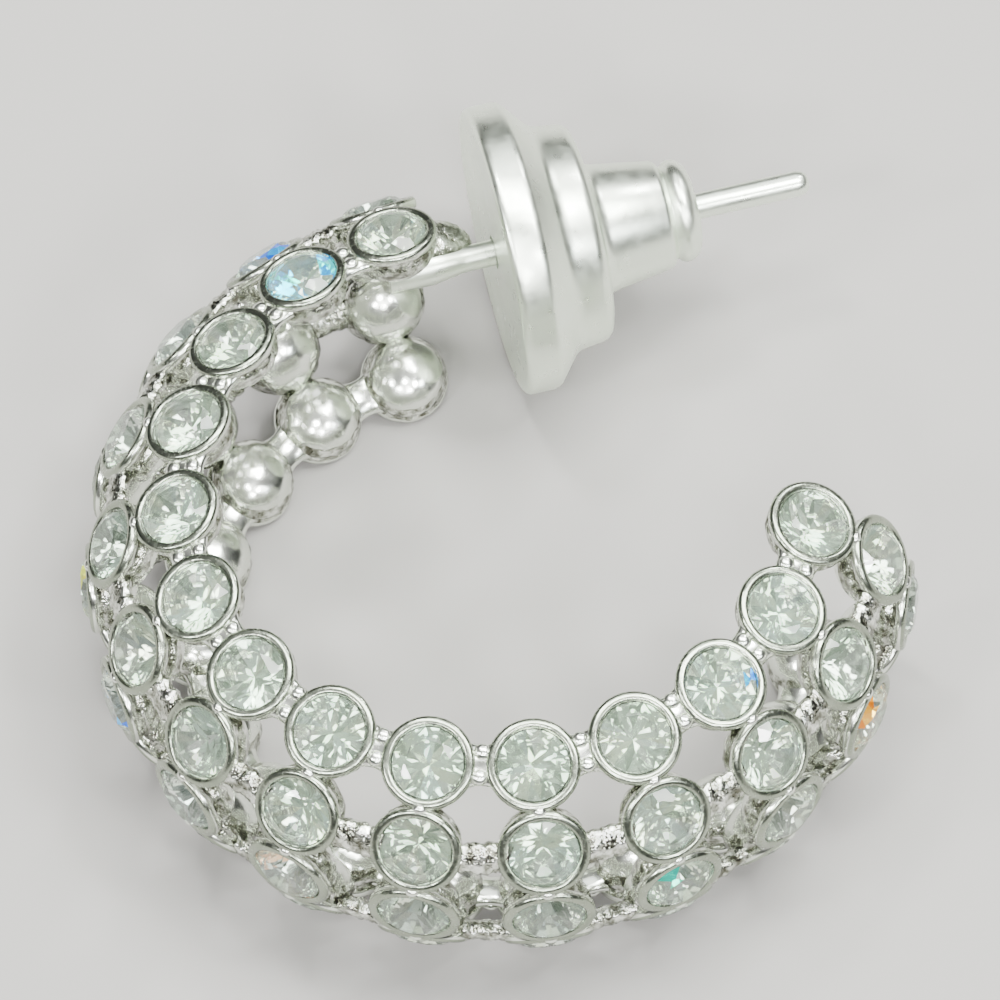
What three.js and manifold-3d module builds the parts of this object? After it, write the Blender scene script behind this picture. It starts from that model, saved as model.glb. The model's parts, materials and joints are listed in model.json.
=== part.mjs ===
// Hoop earring: a C of paved stone cups with a post, and the ear nut on the post.
// Millimetres, +Z up. The hoop lies on its side: its axis is vertical and z = 0 is the surface it rests on.
// The origin is in the middle of the part's outline from above.
import * as THREE from 'three';
import { mergeVertices } from 'three/addons/utils/BufferGeometryUtils.js';
import Module from 'manifold-3d';

// Where the hoop's axis stands, for the outline to be centred on the origin.
const HOOP_AXIS = { x: 0.07, y: -1.51 };

// Rows of cups around the hoop, counted from the post end.
const ROW_COUNT = 14;
const ROW_PITCH = 18.6; // degrees between rows
const FIRST_ROW_ANGLE = 106; // degrees from +X
// Each row is an arch of five cups, on a circle whose centre runs round the hoop.
const ARCH_CENTRE_RADIUS = 8.1;
const ARCH_RADIUS = 4.7;
const SIDE_ANGLE = 68; // degrees from straight outwards
const ARCH_ANGLES = [-SIDE_ANGLE, -SIDE_ANGLE / 2, 0, SIDE_ANGLE / 2, SIDE_ANGLE];

// A cup with its low paved crown, as half a section about its own axis, z = 0 at the rim.
// The corners of the octagon point at the neighbours, and neighbours in a row run into each other there.
const CUP_SIDES = 8;
const RIM_RADIUS = 1.5;
const CUP_PROFILE = [
  { radius: 0, z: -1.5 },
  { radius: 0.9, z: -1.5 },
  { radius: RIM_RADIUS, z: 0 },
  { radius: 0.75, z: 0.3 },
  { radius: 0, z: 0.3 },
];

// Metal that joins the rows. Each link ends inside a cup, this far from the cup's own axis.
const LINK_INSET = 0.8;
const BAR_ANGLE = 31; // where on the arch the bars between rows sit
const BAR_DEPTH = 0.15; // below the rims
const BAR_SIZE = { across: 1.2, high: 0.7 };
const JOINT_DEPTH = 0.35; // solder joints between neighbouring side cups
const JOINT_SIZE = { across: 1.3, high: 0.6 };

// Post, in its own frame: x runs along the post from the first row's plane.
const POST_RADIUS_IN_HOOP = 11.1;
const POST_DIRECTION = 10.5; // degrees from +X
const POST_RADIUS = 0.42;
const POST_SIDES = 12;
const POST_PROFILE = [
  { x: 0, radius: 0 },
  { x: 0, radius: POST_RADIUS },
  { x: 13.65, radius: POST_RADIUS },
  { x: 14, radius: POST_RADIUS / 2 },
  { x: 14, radius: 0 },
];
// The neck is a rounded lump on the post's root.
// Its rings lean out of the hoop, into the back of the first row's middle cup.
const NECK_SIDES = 16;
const NECK_PROFILE = [
  { x: 0, radius: 0, lean: 0.5 },
  { x: 0, radius: 0.9, lean: 0.5 },
  { x: 1.1, radius: 1.05, lean: 0.75 },
  { x: 2, radius: 0.9, lean: 0.68 },
  { x: 2.7, radius: 0.62, lean: 0.6 },
  { x: 3, radius: 0.3, lean: 0.5 },
  { x: 3, radius: 0, lean: 0.5 },
];

// Ear nut, half a section about the post; x is measured from the disc's front face.
const NUT_FRONT = 3.6;
const NUT_SIDES = 32;
const BORE_RADIUS = 0.55;
const NUT_PROFILE = [
  { x: 0, radius: BORE_RADIUS },
  { x: 0, radius: 1.6 },
  { x: 0, radius: 4.5 },
  { x: 0.2, radius: 4.7 },
  { x: 1.05, radius: 4.7 },
  { x: 1.85, radius: 3.75 },
  { x: 2.9, radius: 3.55 },
  { x: 3.2, radius: 3.1 },
  { x: 3.35, radius: 2.1 },
  { x: 5.6, radius: 1.75 },
  { x: 5.7, radius: 1.5 },
  { x: 5.9, radius: 1.65 },
  { x: 6.4, radius: 1.5 },
  { x: 6.6, radius: 1.15 },
  { x: 6.6, radius: BORE_RADIUS },
];

const silver = new THREE.MeshStandardMaterial({ color: 0xd9dcd6, roughness: 0.12, metalness: 1 });
const nutSilver = new THREE.MeshStandardMaterial({ color: 0xd2d8cf, roughness: 0.18, metalness: 1 });

const wasm = await Module();
wasm.setup();

const radians = THREE.MathUtils.degToRad;

// The hoop rests on the rims of its lower side cups, which sets the height of its middle plane.
const HALF_WIDTH = ARCH_RADIUS * Math.sin(radians(SIDE_ANGLE)) + RIM_RADIUS * Math.cos(radians(SIDE_ANGLE));
const hoopCentre = new THREE.Matrix4().makeTranslation(HOOP_AXIS.x, HOOP_AXIS.y, HALF_WIDTH);

// A closed mesh as a solid, after it is placed by the given matrix.
function solidOf(geometry, matrix) {
  const placed = geometry.clone().applyMatrix4(matrix);
  placed.deleteAttribute('normal');
  placed.deleteAttribute('uv');
  const merged = mergeVertices(placed, 1e-4);
  return new wasm.Manifold(new wasm.Mesh({
    numProp: 3,
    vertProperties: new Float32Array(merged.attributes.position.array),
    triVerts: new Uint32Array(merged.index.array),
  }));
}

function geometryOf(solid) {
  const mesh = solid.getMesh();
  const geometry = new THREE.BufferGeometry();
  geometry.setAttribute('position', new THREE.BufferAttribute(mesh.vertProperties, 3));
  geometry.setIndex(new THREE.BufferAttribute(mesh.triVerts, 1));
  return geometry;
}

function joined(solids) {
  return solids.reduce((whole, solid) => whole.add(solid));
}

// A body of revolution about +Z from a half section that ends on the axis or closes on itself.
function turned(points, sides) {
  const geometry = new THREE.LatheGeometry(points.map((p) => new THREE.Vector2(p.radius, p.z)), sides);
  return geometry.rotateX(Math.PI / 2);
}

// The frame of a row: x straight outwards, y along the hoop, z the hoop's axis.
function rowFrame(row) {
  const angle = radians(FIRST_ROW_ANGLE + row * ROW_PITCH);
  return hoopCentre.clone()
    .multiply(new THREE.Matrix4().makeRotationZ(angle))
    .multiply(new THREE.Matrix4().makeTranslation(ARCH_CENTRE_RADIUS, 0, 0));
}

// The frame of a place on the arch: z points away from the arch's centre, y along the hoop.
function archFrame(archAngle) {
  return new THREE.Matrix4().makeRotationY(-radians(archAngle))
    .multiply(new THREE.Matrix4().makeTranslation(ARCH_RADIUS, 0, 0))
    .multiply(new THREE.Matrix4().makeRotationY(Math.PI / 2));
}

function cups() {
  const cup = turned(CUP_PROFILE, CUP_SIDES);
  const solids = [];
  for (let row = 0; row < ROW_COUNT; row += 1) {
    for (const archAngle of ARCH_ANGLES) {
      solids.push(solidOf(cup, rowFrame(row).multiply(archFrame(archAngle))));
    }
  }
  return solids;
}

// A short link from one row to the next, on the line between two places at the same depth on their arches.
function link(row, archAngle, depth, size) {
  const local = new THREE.Vector3(ARCH_RADIUS - depth, 0, 0)
    .applyAxisAngle(new THREE.Vector3(0, 1, 0), -radians(archAngle));
  const from = local.clone().applyMatrix4(rowFrame(row));
  const to = local.clone().applyMatrix4(rowFrame(row + 1));
  const middleTurn = radians(FIRST_ROW_ANGLE + (row + 0.5) * ROW_PITCH);
  const box = new THREE.BoxGeometry(size.high, from.distanceTo(to) - 2 * LINK_INSET, size.across);
  const matrix = new THREE.Matrix4().makeTranslation(...from.add(to).multiplyScalar(0.5))
    .multiply(new THREE.Matrix4().makeRotationZ(middleTurn))
    .multiply(new THREE.Matrix4().makeRotationY(-radians(archAngle)));
  return solidOf(box, matrix);
}

function links() {
  const solids = [];
  for (let row = 0; row < ROW_COUNT - 1; row += 1) {
    for (const side of [-1, 1]) {
      solids.push(link(row, side * BAR_ANGLE, BAR_DEPTH, BAR_SIZE));
      solids.push(link(row, side * SIDE_ANGLE, JOINT_DEPTH, JOINT_SIZE));
    }
  }
  return solids;
}

// The post's frame: x along the post, z the hoop's axis.
function postFrame() {
  const turn = radians(FIRST_ROW_ANGLE);
  return hoopCentre.clone()
    .multiply(new THREE.Matrix4().makeRotationZ(turn))
    .multiply(new THREE.Matrix4().makeTranslation(POST_RADIUS_IN_HOOP, 0, 0))
    .multiply(new THREE.Matrix4().makeRotationZ(radians(POST_DIRECTION) - turn));
}

function alongPost(points, sides) {
  return turned(points.map((p) => ({ radius: p.radius, z: p.x })), sides).rotateY(Math.PI / 2);
}

function neck() {
  const lump = alongPost(NECK_PROFILE, NECK_SIDES);
  const places = lump.attributes.position;
  for (let i = 0; i < places.count; i += 1) {
    places.setY(i, places.getY(i) + NECK_PROFILE[i % NECK_PROFILE.length].lean);
  }
  return lump;
}

function postParts() {
  const pieces = [alongPost(POST_PROFILE, POST_SIDES), neck()];
  return pieces.map((geometry) => solidOf(geometry, postFrame()));
}

const earring = new THREE.Group();

const setting = joined([...cups(), ...links(), ...postParts()]);
const hoopSetting = new THREE.Mesh(geometryOf(setting), silver);
hoopSetting.name = 'hoop_setting';
earring.add(hoopSetting);

const onPost = new THREE.Group();
onPost.applyMatrix4(postFrame());
const earNut = new THREE.Mesh(alongPost([...NUT_PROFILE, NUT_PROFILE[0]], NUT_SIDES), nutSilver);
earNut.name = 'ear_nut';
earNut.position.x = NUT_FRONT;
onPost.add(earNut);
earring.add(onPost);

export default earring;
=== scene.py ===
"""A hoop earring of stone cups with its post and ear nut, resting on its side on a pale studio floor."""
import json
import random
from math import atan2, cos, degrees, exp, pi, radians, sin, tan

import bpy
from mathutils import Matrix, Vector


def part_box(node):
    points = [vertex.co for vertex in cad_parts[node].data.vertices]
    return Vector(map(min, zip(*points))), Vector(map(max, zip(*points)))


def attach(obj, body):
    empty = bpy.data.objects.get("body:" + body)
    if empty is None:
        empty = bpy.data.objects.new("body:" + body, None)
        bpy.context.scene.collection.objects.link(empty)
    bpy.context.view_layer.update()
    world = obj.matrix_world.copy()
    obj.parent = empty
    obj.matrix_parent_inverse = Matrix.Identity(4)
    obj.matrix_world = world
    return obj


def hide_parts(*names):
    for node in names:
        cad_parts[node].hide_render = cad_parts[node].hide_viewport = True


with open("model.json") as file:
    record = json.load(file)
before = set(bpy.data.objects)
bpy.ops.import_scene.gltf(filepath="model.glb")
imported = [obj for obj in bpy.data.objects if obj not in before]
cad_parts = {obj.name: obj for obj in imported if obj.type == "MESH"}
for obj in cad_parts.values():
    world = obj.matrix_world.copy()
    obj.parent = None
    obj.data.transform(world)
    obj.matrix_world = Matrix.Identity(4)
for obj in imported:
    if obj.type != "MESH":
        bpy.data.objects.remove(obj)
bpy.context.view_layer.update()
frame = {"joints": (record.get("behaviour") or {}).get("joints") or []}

MM = 0.001

# The hoop, in the same driving sizes as its source (millimetres and degrees).
HOOP_AXIS = (0.07, -1.51)
ROW_COUNT = 14
ROW_PITCH = 18.6
FIRST_ROW_ANGLE = 106
ARCH_CENTRE_RADIUS = 8.1
ARCH_RADIUS = 4.7
SIDE_ANGLE = 68
ARCH_ANGLES = (-SIDE_ANGLE, -SIDE_ANGLE / 2, 0, SIDE_ANGLE / 2, SIDE_ANGLE)
BAR_ANGLE = 31
BAR_DEPTH = 0.15
JOINT_DEPTH = 0.35
POST_RADIUS_IN_HOOP = 11.1

# The setting's box gives the height of the hoop's middle plane, and the nut's joint the way the post points.
setting_low, setting_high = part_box("hoop_setting")
HOOP_CENTRE = Vector((HOOP_AXIS[0], HOOP_AXIS[1], (setting_low.z + setting_high.z) / 2 / MM))
POST_WAY = Vector(frame["joints"][0]["axis"]).normalized()

# A bezel cup, as rings from the floor of its seat over the flat rim to the back, z = 0 at the rim.
CUP_SIDES = 40
CUP_RINGS = (
    # (height, radius)
    (-1.20, 0.30),
    (-0.50, 1.10),
    (-0.12, 1.12),
    (-0.01, 1.13),
    (0.035, 1.16),
    (0.055, 1.22),
    (0.050, 1.32),
    (0.01, 1.39),
    (-0.07, 1.43),
    (-0.20, 1.43),
    (-0.27, 1.39),
    (-0.33, 1.31),
    (-0.44, 1.29),
    (-0.56, 1.34),
    (-0.68, 1.32),
    (-0.82, 1.26),
    (-0.98, 1.17),
    (-1.13, 1.04),
    (-1.27, 0.86),
    (-1.38, 0.64),
    (-1.46, 0.38),
    (-1.50, 0.12),
)
RIM_FACE = -0.04  # above this a cup is the satin face of its rim
RIM_DEPTH = -0.25  # from there down to here it is the rim's polished edge
WALL_FOOT = -1.0  # from the rim down to here a cup is rough from its casting, and its back is smooth again
CRUMPLE = 0.035  # how far the rough metal strays, in millimetres

# The metal between the cups. A pair of radii is the high one, then the one across.
BAR_SIDES = 20
BAR_STEPS = 28
BAR_HALF_LENGTH = 0.86  # a bar's end is buried in the cup's wall
BAR_RADII = (0.31, 0.57)
BAR_WAIST = 0.9  # a bar's girth between its folds
FOLD_PLACES = ((-0.62, -0.38), (-0.12, 0.12), (0.38, 0.62))  # a fold lies somewhere between each pair
FOLD_SWELLS = (0.10, 0.20)
FOLD_WIDTH = 0.15
FOLD_SLANTS = (-22, 16, 24)
BAR_SHAPES = 3
JOINT_SIDES = 24
JOINT_STEPS = 12
JOINT_HALF_LENGTH = 0.42
JOINT_RADII = (0.26, 0.62)
JOINT_FLARE = (0.05, 0.10)  # how much wider a joint is at its ends
BEAD_SIDES = 16
BEAD_RADII = (0.17, 0.24)
BEAD_HALF_LENGTH = 0.26
BEAD_TIP = 0.02  # added to a bead's radii, so that its ends aren't points
BEAD_LIFT = 0.03  # the beads between two cups of a row, above the rims
BEAD_DEPTH = 0.16  # the beads between two side cups, below the rims
BEAD_STEP = 0.34  # how far those beads stand to each side of the joint's middle
BEAD_STRAY = (0.05, 0.04)  # how far they stray across the joint and along the hoop

# A round brilliant, z = 0 at the cup's rim.
STONE_RADIUS = 1.09
STONE_SIDES = 32
ROD_LENGTH = 2.4  # the rod that it is ground from, and its middle's depth
ROD_DEPTH = 0.7
TABLE_HEIGHT = 0.28
GIRDLE_TOP = -0.03
GIRDLE_FOOT = -0.08
CROWN_ANGLE = 36
UPPER_HALF_ANGLE = 42
STAR_ANGLE = 21
PAVILION_ANGLE = 41
LOWER_HALF_ANGLE = 42.5
MEET_STEP = 0.02  # how far a main facet's corner stands above the half facets' edge at the girdle
WELD = 0.003  # corners nearer than this are one
STONE_LEAN = 1.5  # degrees that a stone may lean in its seat
STONE_SINK = 0.03  # how far it may sink in it

# The ear post and its neck, as rings along the post; x is the way out of the hoop.
POST_SIDES = 48
NECK_SIDES = 32
NECK_SEED = 5
POST_RINGS = (
    # (height, radius)
    (0.1, 0.60),
    (1.5, 0.60),
    (2.0, 0.52),
    (2.4, 0.45),
    (2.7, 0.42),
    (13.6, 0.42),
    (13.80, 0.38),
    (13.92, 0.29),
    (13.98, 0.18),
    (14.0, 0.06),
)
NECK_RINGS = (
    # (height, x radius, y radius, x shift)
    (0.10, 0.85, 0.85, 0.50),
    (0.50, 1.00, 1.02, 0.62),
    (1.00, 1.04, 1.05, 0.74),
    (1.50, 0.98, 1.00, 0.72),
    (1.95, 0.88, 0.88, 0.68),
    (2.35, 0.76, 0.75, 0.64),
    (2.65, 0.60, 0.58, 0.60),
    (2.85, 0.43, 0.41, 0.56),
    (2.95, 0.24, 0.23, 0.52),
    (2.98, 0.08, 0.08, 0.50),
)

# The ear nut, as rings along the post from its front face.
NUT_FRONT = 3.6
NUT_SIDES = 192
NUT_RINGS = (
    # (height, radius)
    (0.0, 0.55),
    (0.0, 4.22),
    (-0.025, 4.32),
    (-0.04, 4.44),
    (-0.02, 4.55),
    (0.04, 4.64),
    (0.14, 4.69),
    (0.26, 4.70),
    (0.92, 4.70),
    (1.06, 4.67),
    (1.18, 4.58),
    (1.78, 3.84),
    (1.88, 3.75),
    (2.02, 3.68),
    (2.20, 3.64),
    (2.80, 3.56),
    (2.96, 3.50),
    (3.10, 3.36),
    (3.18, 3.10),
    (3.22, 2.50),
    (3.28, 2.25),
    (3.42, 2.12),
    (3.60, 2.07),
    (5.46, 1.77),
    (5.58, 1.70),
    (5.66, 1.56),
    (5.72, 1.50),
    (5.80, 1.53),
    (5.88, 1.62),
    (6.02, 1.67),
    (6.18, 1.66),
    (6.36, 1.56),
    (6.50, 1.40),
    (6.58, 1.18),
    (6.60, 0.98),
    (6.60, 0.55),
)


# ---------- places ----------


def row_frame(row):
    """The frame of a row: x straight outwards, y along the hoop, z the hoop's axis."""
    turn = Matrix.Rotation(radians(FIRST_ROW_ANGLE + row * ROW_PITCH), 4, "Z")
    return Matrix.Translation(HOOP_CENTRE) @ turn @ Matrix.Translation((ARCH_CENTRE_RADIUS, 0, 0))


def arch_frame(arch_angle, radius=ARCH_RADIUS):
    """A place on the arch: z points away from the arch's centre, y along the hoop."""
    out = Matrix.Translation((radius, 0, 0)) @ Matrix.Rotation(pi / 2, 4, "Y")
    return Matrix.Rotation(-radians(arch_angle), 4, "Y") @ out


def link_frame(row, arch_angle, depth):
    """Halfway from a row to the next: z along the hoop, x away from the arch's centre."""
    near = row_frame(row) @ arch_frame(arch_angle, ARCH_RADIUS - depth)
    far = row_frame(row + 1) @ arch_frame(arch_angle, ARCH_RADIUS - depth)
    middle = (near.translation + far.translation) / 2
    turn = Matrix.Rotation(radians(FIRST_ROW_ANGLE + (row + 0.5) * ROW_PITCH), 4, "Z")
    tilt = Matrix.Rotation(-radians(arch_angle), 4, "Y")
    return Matrix.Translation(middle) @ turn @ tilt @ Matrix.Rotation(-pi / 2, 4, "X")


def post_frame():
    """The post's frame: z runs along the post from the first row's plane, x is the way out of the hoop."""
    angle = radians(FIRST_ROW_ANGLE)
    foot = HOOP_CENTRE + POST_RADIUS_IN_HOOP * Vector((cos(angle), sin(angle), 0))
    out = Vector((0, 0, 1)).cross(POST_WAY)
    across = POST_WAY.cross(out)
    return Matrix.Translation(foot) @ Matrix((out, across, POST_WAY)).transposed().to_4x4()


def in_metres(place):
    return Matrix.Scale(MM, 4) @ place @ Matrix.Scale(1 / MM, 4)


# ---------- work by hand ----------


def work_on(piece):
    """Only this piece is selected, and it is the active one."""
    bpy.ops.object.select_all(action="DESELECT")
    piece.select_set(True)
    bpy.context.view_layer.objects.active = piece


def apply_place(piece):
    work_on(piece)
    bpy.ops.object.transform_apply(location=True, rotation=True, scale=True)


def full_ring(height, x_radius, y_radius=None, x_shift=0):
    """A ring is round unless its y radius is given, and centred unless it is shifted."""
    return height, x_radius, y_radius or x_radius, x_shift


def drawn(name, rings, sides, bored=False, slant=0):
    """A body drawn up along Z from a circle, ring after ring, each ring extruded from the last.
    A bored body closes from its last ring back to its first. The rings lean by slant, in degrees about X."""
    full = [full_ring(*ring) for ring in rings]
    z, wide, deep, shift = full[0]
    bpy.ops.object.select_all(action="DESELECT")
    fill = "NOTHING" if bored else "NGON"
    place = (shift * MM, 0, z * MM)
    bpy.ops.mesh.primitive_circle_add(vertices=sides, radius=wide * MM, fill_type=fill, location=place)
    body = bpy.context.object
    body.name = name
    apply_place(body)
    bpy.ops.object.mode_set(mode="EDIT")
    bpy.ops.mesh.select_all(action="SELECT")
    bpy.ops.transform.resize(value=(1, deep / wide, 1), center_override=place)
    bpy.ops.transform.rotate(value=radians(slant), orient_axis="X", center_override=place)
    for new_z, new_wide, new_deep, new_shift in full[1:]:
        step = ((new_shift - shift) * MM, 0, (new_z - z) * MM)
        if bored:
            bpy.ops.mesh.extrude_edges_move(TRANSFORM_OT_translate={"value": step})
        else:
            bpy.ops.mesh.extrude_region_move(TRANSFORM_OT_translate={"value": step})
        centre = (new_shift * MM, 0, new_z * MM)
        bpy.ops.transform.resize(value=(new_wide / wide, new_deep / deep, 1), center_override=centre)
        z, wide, deep, shift = new_z, new_wide, new_deep, new_shift
    if bored:
        bpy.ops.mesh.select_all(action="DESELECT")
        bpy.ops.mesh.select_non_manifold()
        bpy.ops.mesh.bridge_edge_loops()
    bpy.ops.mesh.select_all(action="SELECT")
    bpy.ops.mesh.normals_make_consistent(inside=False)
    bpy.ops.object.mode_set(mode="OBJECT")
    return body


def smoothed(piece, angle):
    work_on(piece)
    bpy.ops.object.shade_smooth_by_angle(angle=radians(angle))
    return piece


def crumpled(piece, material, depth, seed):
    """Leaves the faces of this material uneven, as casting does."""
    work_on(piece)
    piece.active_material_index = piece.data.materials.find(material.name)
    bpy.ops.object.mode_set(mode="EDIT")
    bpy.ops.mesh.select_all(action="DESELECT")
    bpy.ops.object.material_slot_select()
    bpy.ops.transform.vertex_random(offset=depth * MM, uniform=0, normal=0.7, seed=seed)
    bpy.ops.object.mode_set(mode="OBJECT")
    return piece


def copies(master, places):
    """A copy of the master with its own mesh at each place, in millimetres."""
    made = []
    for place in places:
        copy = master.copy()
        copy.data = master.data.copy()
        copy.data.transform(in_metres(place))
        bpy.context.scene.collection.objects.link(copy)
        made.append(copy)
    return made


def joined(name, parts):
    work_on(parts[0])
    for part in parts[1:]:
        part.select_set(True)
    bpy.ops.object.join()
    whole = bpy.context.object
    whole.name = name
    whole.data.name = name
    return whole


# ---------- materials ----------


def new_material(name):
    material = bpy.data.materials.new(name)
    material.use_nodes = True
    tree = material.node_tree
    return material, tree, tree.nodes["Principled BSDF"]


def noise_of(tree, scale, detail=3.0, roughness=0.5):
    """A noise on the object's own coordinates; scale is features per millimetre."""
    coordinates = tree.nodes.new("ShaderNodeTexCoord")
    noise = tree.nodes.new("ShaderNodeTexNoise")
    noise.inputs["Scale"].default_value = scale / MM
    noise.inputs["Detail"].default_value = detail
    noise.inputs["Roughness"].default_value = roughness
    tree.links.new(coordinates.outputs["Object"], noise.inputs["Vector"])
    return noise.outputs["Fac"]


def ramp_of(tree, factor, *stops):
    """A colour ramp of (position, colour) stops; a colour may be one grey number."""
    ramp = tree.nodes.new("ShaderNodeValToRGB")
    elements = ramp.color_ramp.elements
    while len(elements) < len(stops):
        elements.new(0.5)
    for element, (position, colour) in zip(elements, stops):
        element.position = position
        grey = (colour,) * 3 if isinstance(colour, (int, float)) else colour
        element.color = (*grey, 1)
    tree.links.new(factor, ramp.inputs["Fac"])
    return ramp.outputs["Color"]


def bump_of(tree, height, depth, strength=1.0):
    """A bump of the given depth in millimetres."""
    bump = tree.nodes.new("ShaderNodeBump")
    bump.inputs["Strength"].default_value = strength
    bump.inputs["Distance"].default_value = depth * MM
    tree.links.new(height, bump.inputs["Height"])
    return bump.outputs["Normal"]


def polished_silver():
    """Bright plating with faint clouds and the slight waves of hand polishing."""
    material, tree, shader = new_material("polished_silver")
    clouds = ramp_of(tree, noise_of(tree, 0.9, 4), (0.3, (0.78, 0.82, 0.74)), (0.7, (0.89, 0.92, 0.84)))
    polish = ramp_of(tree, noise_of(tree, 3.0, 5), (0.35, 0.15), (0.7, 0.28))
    tree.links.new(clouds, shader.inputs["Base Color"])
    tree.links.new(polish, shader.inputs["Roughness"])
    tree.links.new(bump_of(tree, noise_of(tree, 1.6, 2), 0.02), shader.inputs["Normal"])
    shader.inputs["Metallic"].default_value = 1.0
    return material


def satin_silver_with_painted_shade():
    """The rims' faces, ground flat and left with a fine even grain under the plating, their base colour kept
    dark: painted shade that dims the rims' lit faces.
    """
    material, tree, shader = new_material("satin_silver_with_painted_shade")
    # Painted shade: a base colour far darker than the polished plating's, which dims the rims.
    clouds = ramp_of(tree, noise_of(tree, 1.1, 4), (0.3, (0.28, 0.315, 0.25)), (0.7, (0.39, 0.43, 0.35)))
    grain = ramp_of(tree, noise_of(tree, 6.0, 4), (0.3, 0.18), (0.7, 0.30))
    tree.links.new(clouds, shader.inputs["Base Color"])
    tree.links.new(grain, shader.inputs["Roughness"])
    tree.links.new(bump_of(tree, noise_of(tree, 7.0, 1), 0.002), shader.inputs["Normal"])
    shader.inputs["Metallic"].default_value = 1.0
    return material


def cast_silver():
    """Plating over metal left as it was cast: uneven and streaked, with painted shade that darkens every
    pit.
    """
    material, tree, shader = new_material("cast_silver")
    crumple = noise_of(tree, 3.2, 3, 0.6)
    # The base colour follows the bump's own noise. It is darker down the slopes and darkest in each pit:
    # painted shade.
    pit, slope, ridge = (0.36, (0.13, 0.13, 0.10)), (0.50, (0.50, 0.52, 0.45)), (0.62, (0.92, 0.94, 0.88))
    painted_pit_shade = ramp_of(tree, crumple, pit, slope, ridge)
    dullness = ramp_of(tree, noise_of(tree, 5.0, 4), (0.3, 0.08), (0.7, 0.22))
    tree.links.new(painted_pit_shade, shader.inputs["Base Color"])
    tree.links.new(dullness, shader.inputs["Roughness"])
    tree.links.new(bump_of(tree, crumple, 0.10), shader.inputs["Normal"])
    shader.inputs["Metallic"].default_value = 1.0
    return material


def nut_silver():
    """The plating of the nut and the pin, softer, faintly green, and dulled in spots by handling."""
    material, tree, shader = new_material("nut_silver")
    clouds = ramp_of(tree, noise_of(tree, 0.5, 4), (0.3, (0.84, 0.92, 0.79)), (0.7, (0.92, 0.99, 0.87)))
    polish = ramp_of(tree, noise_of(tree, 1.8, 5), (0.35, 0.27), (0.7, 0.38))
    tree.links.new(clouds, shader.inputs["Base Color"])
    tree.links.new(polish, shader.inputs["Roughness"])
    tree.links.new(bump_of(tree, noise_of(tree, 0.8, 2), 0.012), shader.inputs["Normal"])
    shader.inputs["Metallic"].default_value = 1.0
    return material


def attribute_of(tree, name):
    attribute = tree.nodes.new("ShaderNodeAttribute")
    attribute.attribute_name = name
    return attribute.outputs["Color"]


def crystal():
    """Clear glass for the crown of a stone, with painted flashes on a few facets: a colour and a glow of
    their own, standing in for the stone's fire.
    """
    material, tree, shader = new_material("crystal")
    haze = ramp_of(tree, noise_of(tree, 1.2, 2), (0.3, (0.96, 0.98, 0.96)), (0.7, (1.0, 1.0, 1.0)))
    tinted = tree.nodes.new("ShaderNodeMix")
    tinted.data_type = "RGBA"
    tinted.blend_type = "MULTIPLY"
    tinted.inputs["Factor"].default_value = 1.0
    tree.links.new(haze, tinted.inputs["A"])
    tree.links.new(attribute_of(tree, "tint_and_painted_flash"), tinted.inputs["B"])
    tree.links.new(tinted.outputs["Result"], shader.inputs["Base Color"])
    # Painted glow: the flashing facets give off light of their own.
    tree.links.new(attribute_of(tree, "painted_flash"), shader.inputs["Emission Color"])
    shader.inputs["Emission Strength"].default_value = 1.0
    shader.inputs["Transmission Weight"].default_value = 1.0
    shader.inputs["IOR"].default_value = 1.58
    shader.inputs["Roughness"].default_value = 0.0
    return material


def foil():
    """The mirror behind a stone, tinted softly facet by facet, with the faint clouding of its coating."""
    material, tree, shader = new_material("stone_foil")
    tree.links.new(attribute_of(tree, "tint_and_painted_flash"), shader.inputs["Base Color"])
    coating = ramp_of(tree, noise_of(tree, 4.0, 3), (0.3, 0.03), (0.7, 0.08))
    tree.links.new(coating, shader.inputs["Roughness"])
    shader.inputs["Metallic"].default_value = 0.78
    return material


SILVER = polished_silver()
SATIN = satin_silver_with_painted_shade()
CAST = cast_silver()
NUT = nut_silver()
CRYSTAL_WITH_PAINTED_GLOW = crystal()
FOIL = foil()


# ---------- masters ----------


def bezel_cup():
    cup = drawn("cup_master", CUP_RINGS, CUP_SIDES)
    for material in (SILVER, CAST, SATIN):
        cup.data.materials.append(material)
    for face in cup.data.polygons:
        outside = face.normal.xy.dot(face.center.xy) > 0
        height = face.center.z / MM
        if outside and WALL_FOOT < height < RIM_DEPTH:
            face.material_index = 1
        elif height > RIM_FACE:
            face.material_index = 2
    return smoothed(cup, 50)


def cut_facets(count, turn, tilt, radius, height):
    """Grinds facets round the stone: planes tilted from level, through a ring of this radius and height."""
    for facet in range(count):
        bpy.ops.mesh.select_all(action="SELECT")
        around = radians(turn + facet * 360 / count)
        lean = radians(tilt)
        normal = (sin(lean) * cos(around), sin(lean) * sin(around), cos(lean))
        point = (radius * cos(around) * MM, radius * sin(around) * MM, height * MM)
        bpy.ops.mesh.bisect(
            plane_co=point, plane_no=normal, use_fill=True, clear_outer=True, threshold=1e-8)


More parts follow.
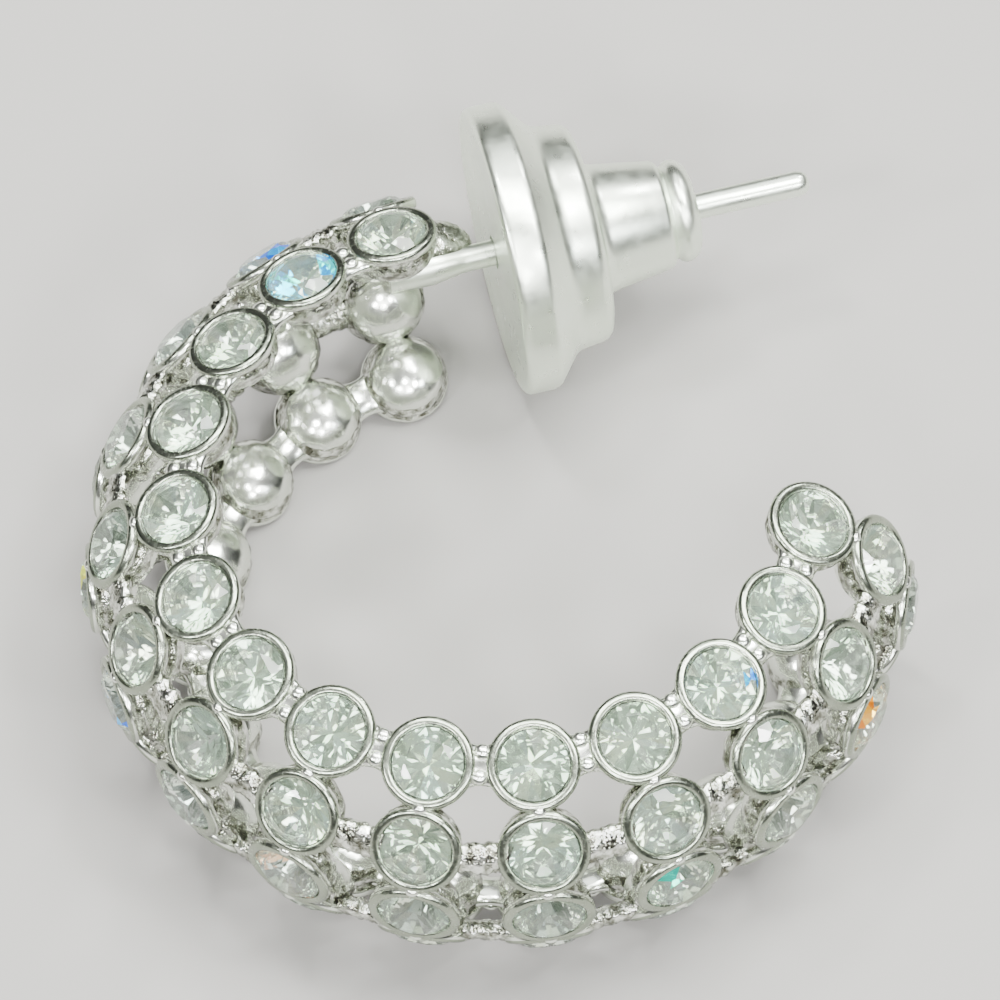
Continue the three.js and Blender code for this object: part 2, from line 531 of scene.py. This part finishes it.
def brilliant():
    """A round brilliant, ground from a short rod: table, halves, mains and stars, then the pavilion."""
    bpy.ops.object.select_all(action="DESELECT")
    middle = (0, 0, -ROD_DEPTH * MM)
    bpy.ops.mesh.primitive_cylinder_add(
        vertices=STONE_SIDES, radius=STONE_RADIUS * MM, depth=ROD_LENGTH * MM, location=middle)
    stone = bpy.context.object
    stone.name = "stone_master"
    apply_place(stone)
    bpy.ops.object.mode_set(mode="EDIT")
    main_top = GIRDLE_TOP + MEET_STEP
    main_foot = GIRDLE_FOOT - MEET_STEP
    table_corner = STONE_RADIUS - (TABLE_HEIGHT - main_top) / tan(radians(CROWN_ANGLE))
    star_edge = table_corner * cos(pi / 8)
    cut_facets(1, 0, 0, 0, TABLE_HEIGHT)
    cut_facets(16, 11.25, UPPER_HALF_ANGLE, STONE_RADIUS, GIRDLE_TOP)
    cut_facets(8, 0, CROWN_ANGLE, STONE_RADIUS, main_top)
    cut_facets(8, 22.5, STAR_ANGLE, star_edge, TABLE_HEIGHT)
    cut_facets(16, 11.25, 180 - LOWER_HALF_ANGLE, STONE_RADIUS, GIRDLE_FOOT)
    cut_facets(8, 0, 180 - PAVILION_ANGLE, STONE_RADIUS, main_foot)
    bpy.ops.mesh.select_all(action="SELECT")
    bpy.ops.mesh.remove_doubles(threshold=WELD * MM)
    bpy.ops.mesh.normals_make_consistent(inside=False)
    bpy.ops.object.mode_set(mode="OBJECT")
    stone.data.materials.append(CRYSTAL_WITH_PAINTED_GLOW)
    stone.data.materials.append(FOIL)
    for face in stone.data.polygons:
        face.material_index = 1 if face.normal.z < -0.1 else 0
    return stone


def link_bar(number):
    """One shape of bar between two rows: thick, with a few slanting folds from its casting."""
    folds = random.Random(number)
    centres = [folds.uniform(*place) for place in FOLD_PLACES]
    swells = [folds.uniform(*FOLD_SWELLS) for _ in centres]
    high, across = BAR_RADII
    rings = []
    for step in range(BAR_STEPS + 1):
        z = BAR_HALF_LENGTH * (2 * step / BAR_STEPS - 1)
        folded = sum(size * exp(-(((z - at) / FOLD_WIDTH) ** 2)) for at, size in zip(centres, swells))
        girth = BAR_WAIST + folded
        rings.append((z, high * girth, across * girth))
    bar = drawn("bar_master", rings, BAR_SIDES, slant=folds.choice(FOLD_SLANTS))
    bar.data.materials.append(CAST)
    return smoothed(bar, 60)


def side_joint():
    """A short broad saddle of solder between two side cups, brighter than the cast metal."""
    rings = []
    for step in range(JOINT_STEPS + 1):
        part = 2 * step / JOINT_STEPS - 1
        high, across = (radius + flare * part ** 2 for radius, flare in zip(JOINT_RADII, JOINT_FLARE))
        rings.append((JOINT_HALF_LENGTH * part, high, across))
    joint = drawn("joint_master", rings, JOINT_SIDES)
    joint.data.materials.append(SILVER)
    return smoothed(joint, 60)


def solder_bead():
    """A small smooth bead, lower along x than it is broad."""
    high, across = BEAD_RADII
    rings = []
    for tilt in range(-80, 81, 20):
        lift = sin(radians(tilt))
        girth = cos(radians(tilt))
        rings.append((BEAD_HALF_LENGTH * lift, high * girth + BEAD_TIP, across * girth + BEAD_TIP))
    bead = drawn("bead_master", rings, BEAD_SIDES)
    bead.data.materials.append(SILVER)
    return smoothed(bead, 80)


# ---------- the earring ----------

rng = random.Random(14)

SOFT_TINTS = (
    (0.87, 1.00, 0.86),
    (0.88, 1.00, 0.87),
    (0.84, 0.98, 0.90),
    (0.92, 0.99, 0.82),
    (0.92, 0.98, 0.90),
    (0.73, 0.85, 0.72),
    (0.53, 0.63, 0.52),
)
# The colours of a painted flash on a crown facet: the heart of the flash, and the facets beside it.
CYAN = (0.0, 0.66, 0.78), (0.0, 0.28, 0.95)
BLUE = (0.0, 0.36, 1.0), (0.0, 0.08, 0.80)
ORANGE = (1.0, 0.42, 0.02), (0.85, 0.18, 0.0)
YELLOW = (0.85, 0.80, 0.03), (0.50, 0.55, 0.0)
GREEN = (0.03, 0.75, 0.45), (0.0, 0.40, 0.30)
ROSE = (1.0, 0.50, 0.35), (0.80, 0.32, 0.15)
# Which stones get a painted flash: (row, cup), the colours, the side of the stone, how wide the flash
# spreads.
PAINTED_FLASHES = {
    (1, 3): (BLUE, 200, 30),
    (1, 4): (CYAN, 245, 34),
    (4, 2): (YELLOW, 180, 16),
    (12, 2): (ORANGE, 200, 24),
    (7, 2): (ROSE, 30, 12),
    (10, 2): (GREEN, 200, 14),
    (11, 4): (BLUE, 60, 10),
    (5, 2): (BLUE, 90, 10),
}
PAINTED_FLASH_START = 0.35  # how far out on the crown a flash begins, so that the table stays clear
CLEAR = (1, 1, 1)
DARK = (0, 0, 0)


def paint_tints_and_flashes(stone, place, painted_flash):
    """Gives each facet of the foil a soft tint, and a few crown facets of some stones a painted flash: a
    colour and a glow of their own.
    """
    tint_and_painted_flash = stone.data.attributes.new("tint_and_painted_flash", "FLOAT_COLOR", "CORNER")
    painted_glow = stone.data.attributes.new("painted_flash", "FLOAT_COLOR", "CORNER")
    to_stone = in_metres(place).inverted()
    for face in stone.data.polygons:
        soft = rng.choice(SOFT_TINTS)
        crown = face.material_index == 0
        tint, light = (CLEAR if crown else soft), DARK
        spot = to_stone @ face.center
        if crown and painted_flash and spot.xy.length > PAINTED_FLASH_START * MM:
            (heart, edge), side, spread = painted_flash
            around = degrees(atan2(spot.y, spot.x))
            away = abs((around - side + 180) % 360 - 180)
            if away < spread:
                # A painted flash: this facet's glass is tinted in the flash's colour and glows with it.
                tint = light = heart if away < spread / 2 else edge
        for corner in face.loop_indices:
            tint_and_painted_flash.data[corner].color = (*tint, 1)
            painted_glow.data[corner].color = (*light, 1)


def cup_rows(cup, bead):
    rows = []
    between = [(a + b) / 2 for a, b in zip(ARCH_ANGLES, ARCH_ANGLES[1:])]
    for row in range(ROW_COUNT):
        turns = [Matrix.Rotation(rng.uniform(0, 2 * pi), 4, "Z") for _ in ARCH_ANGLES]
        parts = copies(cup, [row_frame(row) @ arch_frame(a) @ turn for a, turn in zip(ARCH_ANGLES, turns)])
        parts += copies(bead, [row_frame(row) @ arch_frame(a, ARCH_RADIUS + BEAD_LIFT) for a in between])
        whole = joined(f"cups_row_{row + 1:02d}", parts)
        rows.append(crumpled(whole, CAST, CRUMPLE, row + 1))
    return rows


def stone_rows(stone):
    rows = []
    for row in range(ROW_COUNT):
        parts = []
        for number, arch_angle in enumerate(ARCH_ANGLES):
            place = row_frame(row) @ arch_frame(arch_angle)
            turn = Matrix.Rotation(rng.uniform(0, pi / 4), 4, "Z")
            lean = Matrix.Rotation(radians(rng.uniform(-STONE_LEAN, STONE_LEAN)), 4, "X")
            tip = Matrix.Rotation(radians(rng.uniform(-STONE_LEAN, STONE_LEAN)), 4, "Y")
            sunk = Matrix.Translation((0, 0, rng.uniform(-STONE_SINK, 0)))
            part = copies(stone, [place @ sunk @ lean @ tip @ turn])[0]
            paint_tints_and_flashes(part, place, PAINTED_FLASHES.get((row, number)))
            parts.append(part)
        rows.append(joined(f"stones_row_{row + 1:02d}", parts))
    return rows


def links(bars, joint, bead):
    stray_across, stray_along = BEAD_STRAY
    made = []
    for row in range(ROW_COUNT - 1):
        parts = []
        for side in (-1, 1):
            turn = Matrix.Rotation(rng.choice((0, pi)), 4, "X")
            parts += copies(rng.choice(bars), [link_frame(row, side * BAR_ANGLE, BAR_DEPTH) @ turn])
        parts += copies(joint, [link_frame(row, side * SIDE_ANGLE, JOINT_DEPTH) for side in (-1, 1)])
        for side in (-1, 1):
            for step in (-BEAD_STEP, BEAD_STEP):
                across = step + rng.uniform(-stray_across, stray_across)
                along = rng.uniform(-stray_along, stray_along)
                aside = Matrix.Translation((0, across, along))
                parts += copies(bead, [link_frame(row, side * SIDE_ANGLE, BEAD_DEPTH) @ aside])
        whole = joined(f"links_{row + 1:02d}", parts)
        made.append(crumpled(whole, CAST, CRUMPLE, row + 1))
    return made


def ear_post():
    """The straight pin, and the rounded lump that holds its root, left as it was cast."""
    pin = drawn("pin", POST_RINGS, POST_SIDES)
    lump = drawn("lump", NECK_RINGS, NECK_SIDES)
    pin.data.materials.append(NUT)
    lump.data.materials.append(CAST)
    crumpled(lump, CAST, CRUMPLE, NECK_SEED)
    post = smoothed(joined("ear_post", [pin, lump]), 60)
    post.data.transform(in_metres(post_frame()))
    return post


def ear_nut():
    nut = drawn("ear_nut_turned", NUT_RINGS, NUT_SIDES, bored=True)
    nut.data.materials.append(NUT)
    smoothed(nut, 45)
    nut.data.transform(in_metres(post_frame() @ Matrix.Translation((0, 0, NUT_FRONT))))
    return nut


def remove(*masters):
    for master in masters:
        bpy.data.objects.remove(master)


# ---------- stage ----------


def studio_floor():
    bpy.ops.object.select_all(action="DESELECT")
    bpy.ops.mesh.primitive_plane_add(size=3, location=(0, 0, 0))
    floor = bpy.context.object
    floor.name = "studio_floor"
    material, _, shader = new_material("floor_paper")
    shader.inputs["Base Color"].default_value = (0.30, 0.293, 0.28, 1)
    shader.inputs["Roughness"].default_value = 0.9
    floor.data.materials.append(material)


def area_light(name, place, size, power, colour=(1, 1, 1), length=None):
    """A soft light aimed at the hoop, round or with a length along x. Its place is in metres from there."""
    data = bpy.data.lights.new(name, "AREA")
    data.shape = "RECTANGLE" if length else "DISK"
    data.size = length or size
    data.size_y = size
    data.energy = power
    data.color = colour
    z = Vector(place).normalized()
    y = z.cross(Vector((1, 0, 0))).normalized()
    turn = Matrix((y.cross(z), y, z)).transposed().to_4x4()
    light = bpy.data.objects.new(name, data)
    light.matrix_world = Matrix.Translation(HOOP_CENTRE * MM + Vector(place)) @ turn
    bpy.context.scene.collection.objects.link(light)


# Small lights for the stones to sparkle with, in metres from the hoop's centre.
SPARK_PLACES = (
    (-0.35, -0.15, 0.30),
    (0.25, 0.30, 0.35),
    (0.10, -0.40, 0.30),
    (0.21, -0.04, 0.43),
    (-0.22, -0.24, 0.36),
    (-0.12, 0.16, 0.44),
    (0.03, -0.27, 0.41),
    (-0.07, -0.38, 0.32),
    (0.22, -0.28, 0.34),
)
SPARK_SIZE = 0.07
SPARK_POWER = 1.0


def studio_lights():
    area_light("overhead_softbox", (0.09, 0.05, 0.45), 0.16, 5.4, (0.98, 1, 0.96), length=0.42)
    area_light("back_softbox", (0.05, 0.42, 0.50), 0.36, 0.9, (0.97, 1, 0.98))
    area_light("window_light", (0.40, -0.30, 0.35), 0.12, 0.7, (0.93, 0.97, 1))
    for number, place in enumerate(SPARK_PLACES):
        area_light(f"spark_light_{number + 1}", place, SPARK_SIZE, SPARK_POWER)
    world = bpy.data.worlds.new("studio_room")
    bpy.context.scene.world = world
    world.use_nodes = True
    tree = world.node_tree
    coordinates = tree.nodes.new("ShaderNodeTexCoord")
    split = tree.nodes.new("ShaderNodeSeparateXYZ")
    tree.links.new(coordinates.outputs["Generated"], split.inputs["Vector"])
    shades = (0.0, 0.20), (0.15, 0.05), (0.5, 0.11), (0.7, 0.30), (1.0, 0.42)
    shade = ramp_of(tree, split.outputs["Z"], *shades)
    tree.links.new(shade, tree.nodes["Background"].inputs["Color"])
    tree.nodes["Background"].inputs["Strength"].default_value = 1.0


CAMERA_ELEVATION = 59.5
CAMERA_DISTANCE = 226.9
CAMERA_ROLL = -3.9
CAMERA_LENS = 262
AIM_LIFT = 1.8  # how far above the hoop's centre the camera aims, along its own upright


def studio_camera():
    lift = radians(CAMERA_ELEVATION)
    back = Vector((0, -cos(lift), sin(lift)))
    level_right = Vector((1, 0, 0))
    level_up = level_right.cross(-back)
    roll = radians(CAMERA_ROLL)
    up = cos(roll) * level_up - sin(roll) * level_right
    place = HOOP_CENTRE + back * CAMERA_DISTANCE
    aim = HOOP_CENTRE + up * AIM_LIFT
    z = (place - aim).normalized()
    x = up.cross(z).normalized()
    y = z.cross(x)
    data = bpy.data.cameras.new("studio_camera")
    data.lens = CAMERA_LENS
    data.clip_start = 0.01
    camera = bpy.data.objects.new("studio_camera", data)
    camera.matrix_world = Matrix.Translation(place * MM) @ Matrix((x, y, z)).transposed().to_4x4()
    bpy.context.scene.collection.objects.link(camera)
    bpy.context.scene.camera = camera


studio_camera()

cup = bezel_cup()
bead = solder_bead()
stone = brilliant()
joint = side_joint()
bars = [link_bar(number) for number in range(BAR_SHAPES)]
cup_pieces = cup_rows(cup, bead)
stone_pieces = stone_rows(stone)
link_pieces = links(bars, joint, bead)
remove(cup, bead, stone, joint, *bars)
post = ear_post()
nut = ear_nut()

for piece in (*cup_pieces, *link_pieces, post):
    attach(piece, "hoop")
for piece in stone_pieces:
    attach(piece, "hoop")
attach(nut, "nut")
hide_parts("hoop_setting")
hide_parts("ear_nut")

studio_floor()
studio_lights()
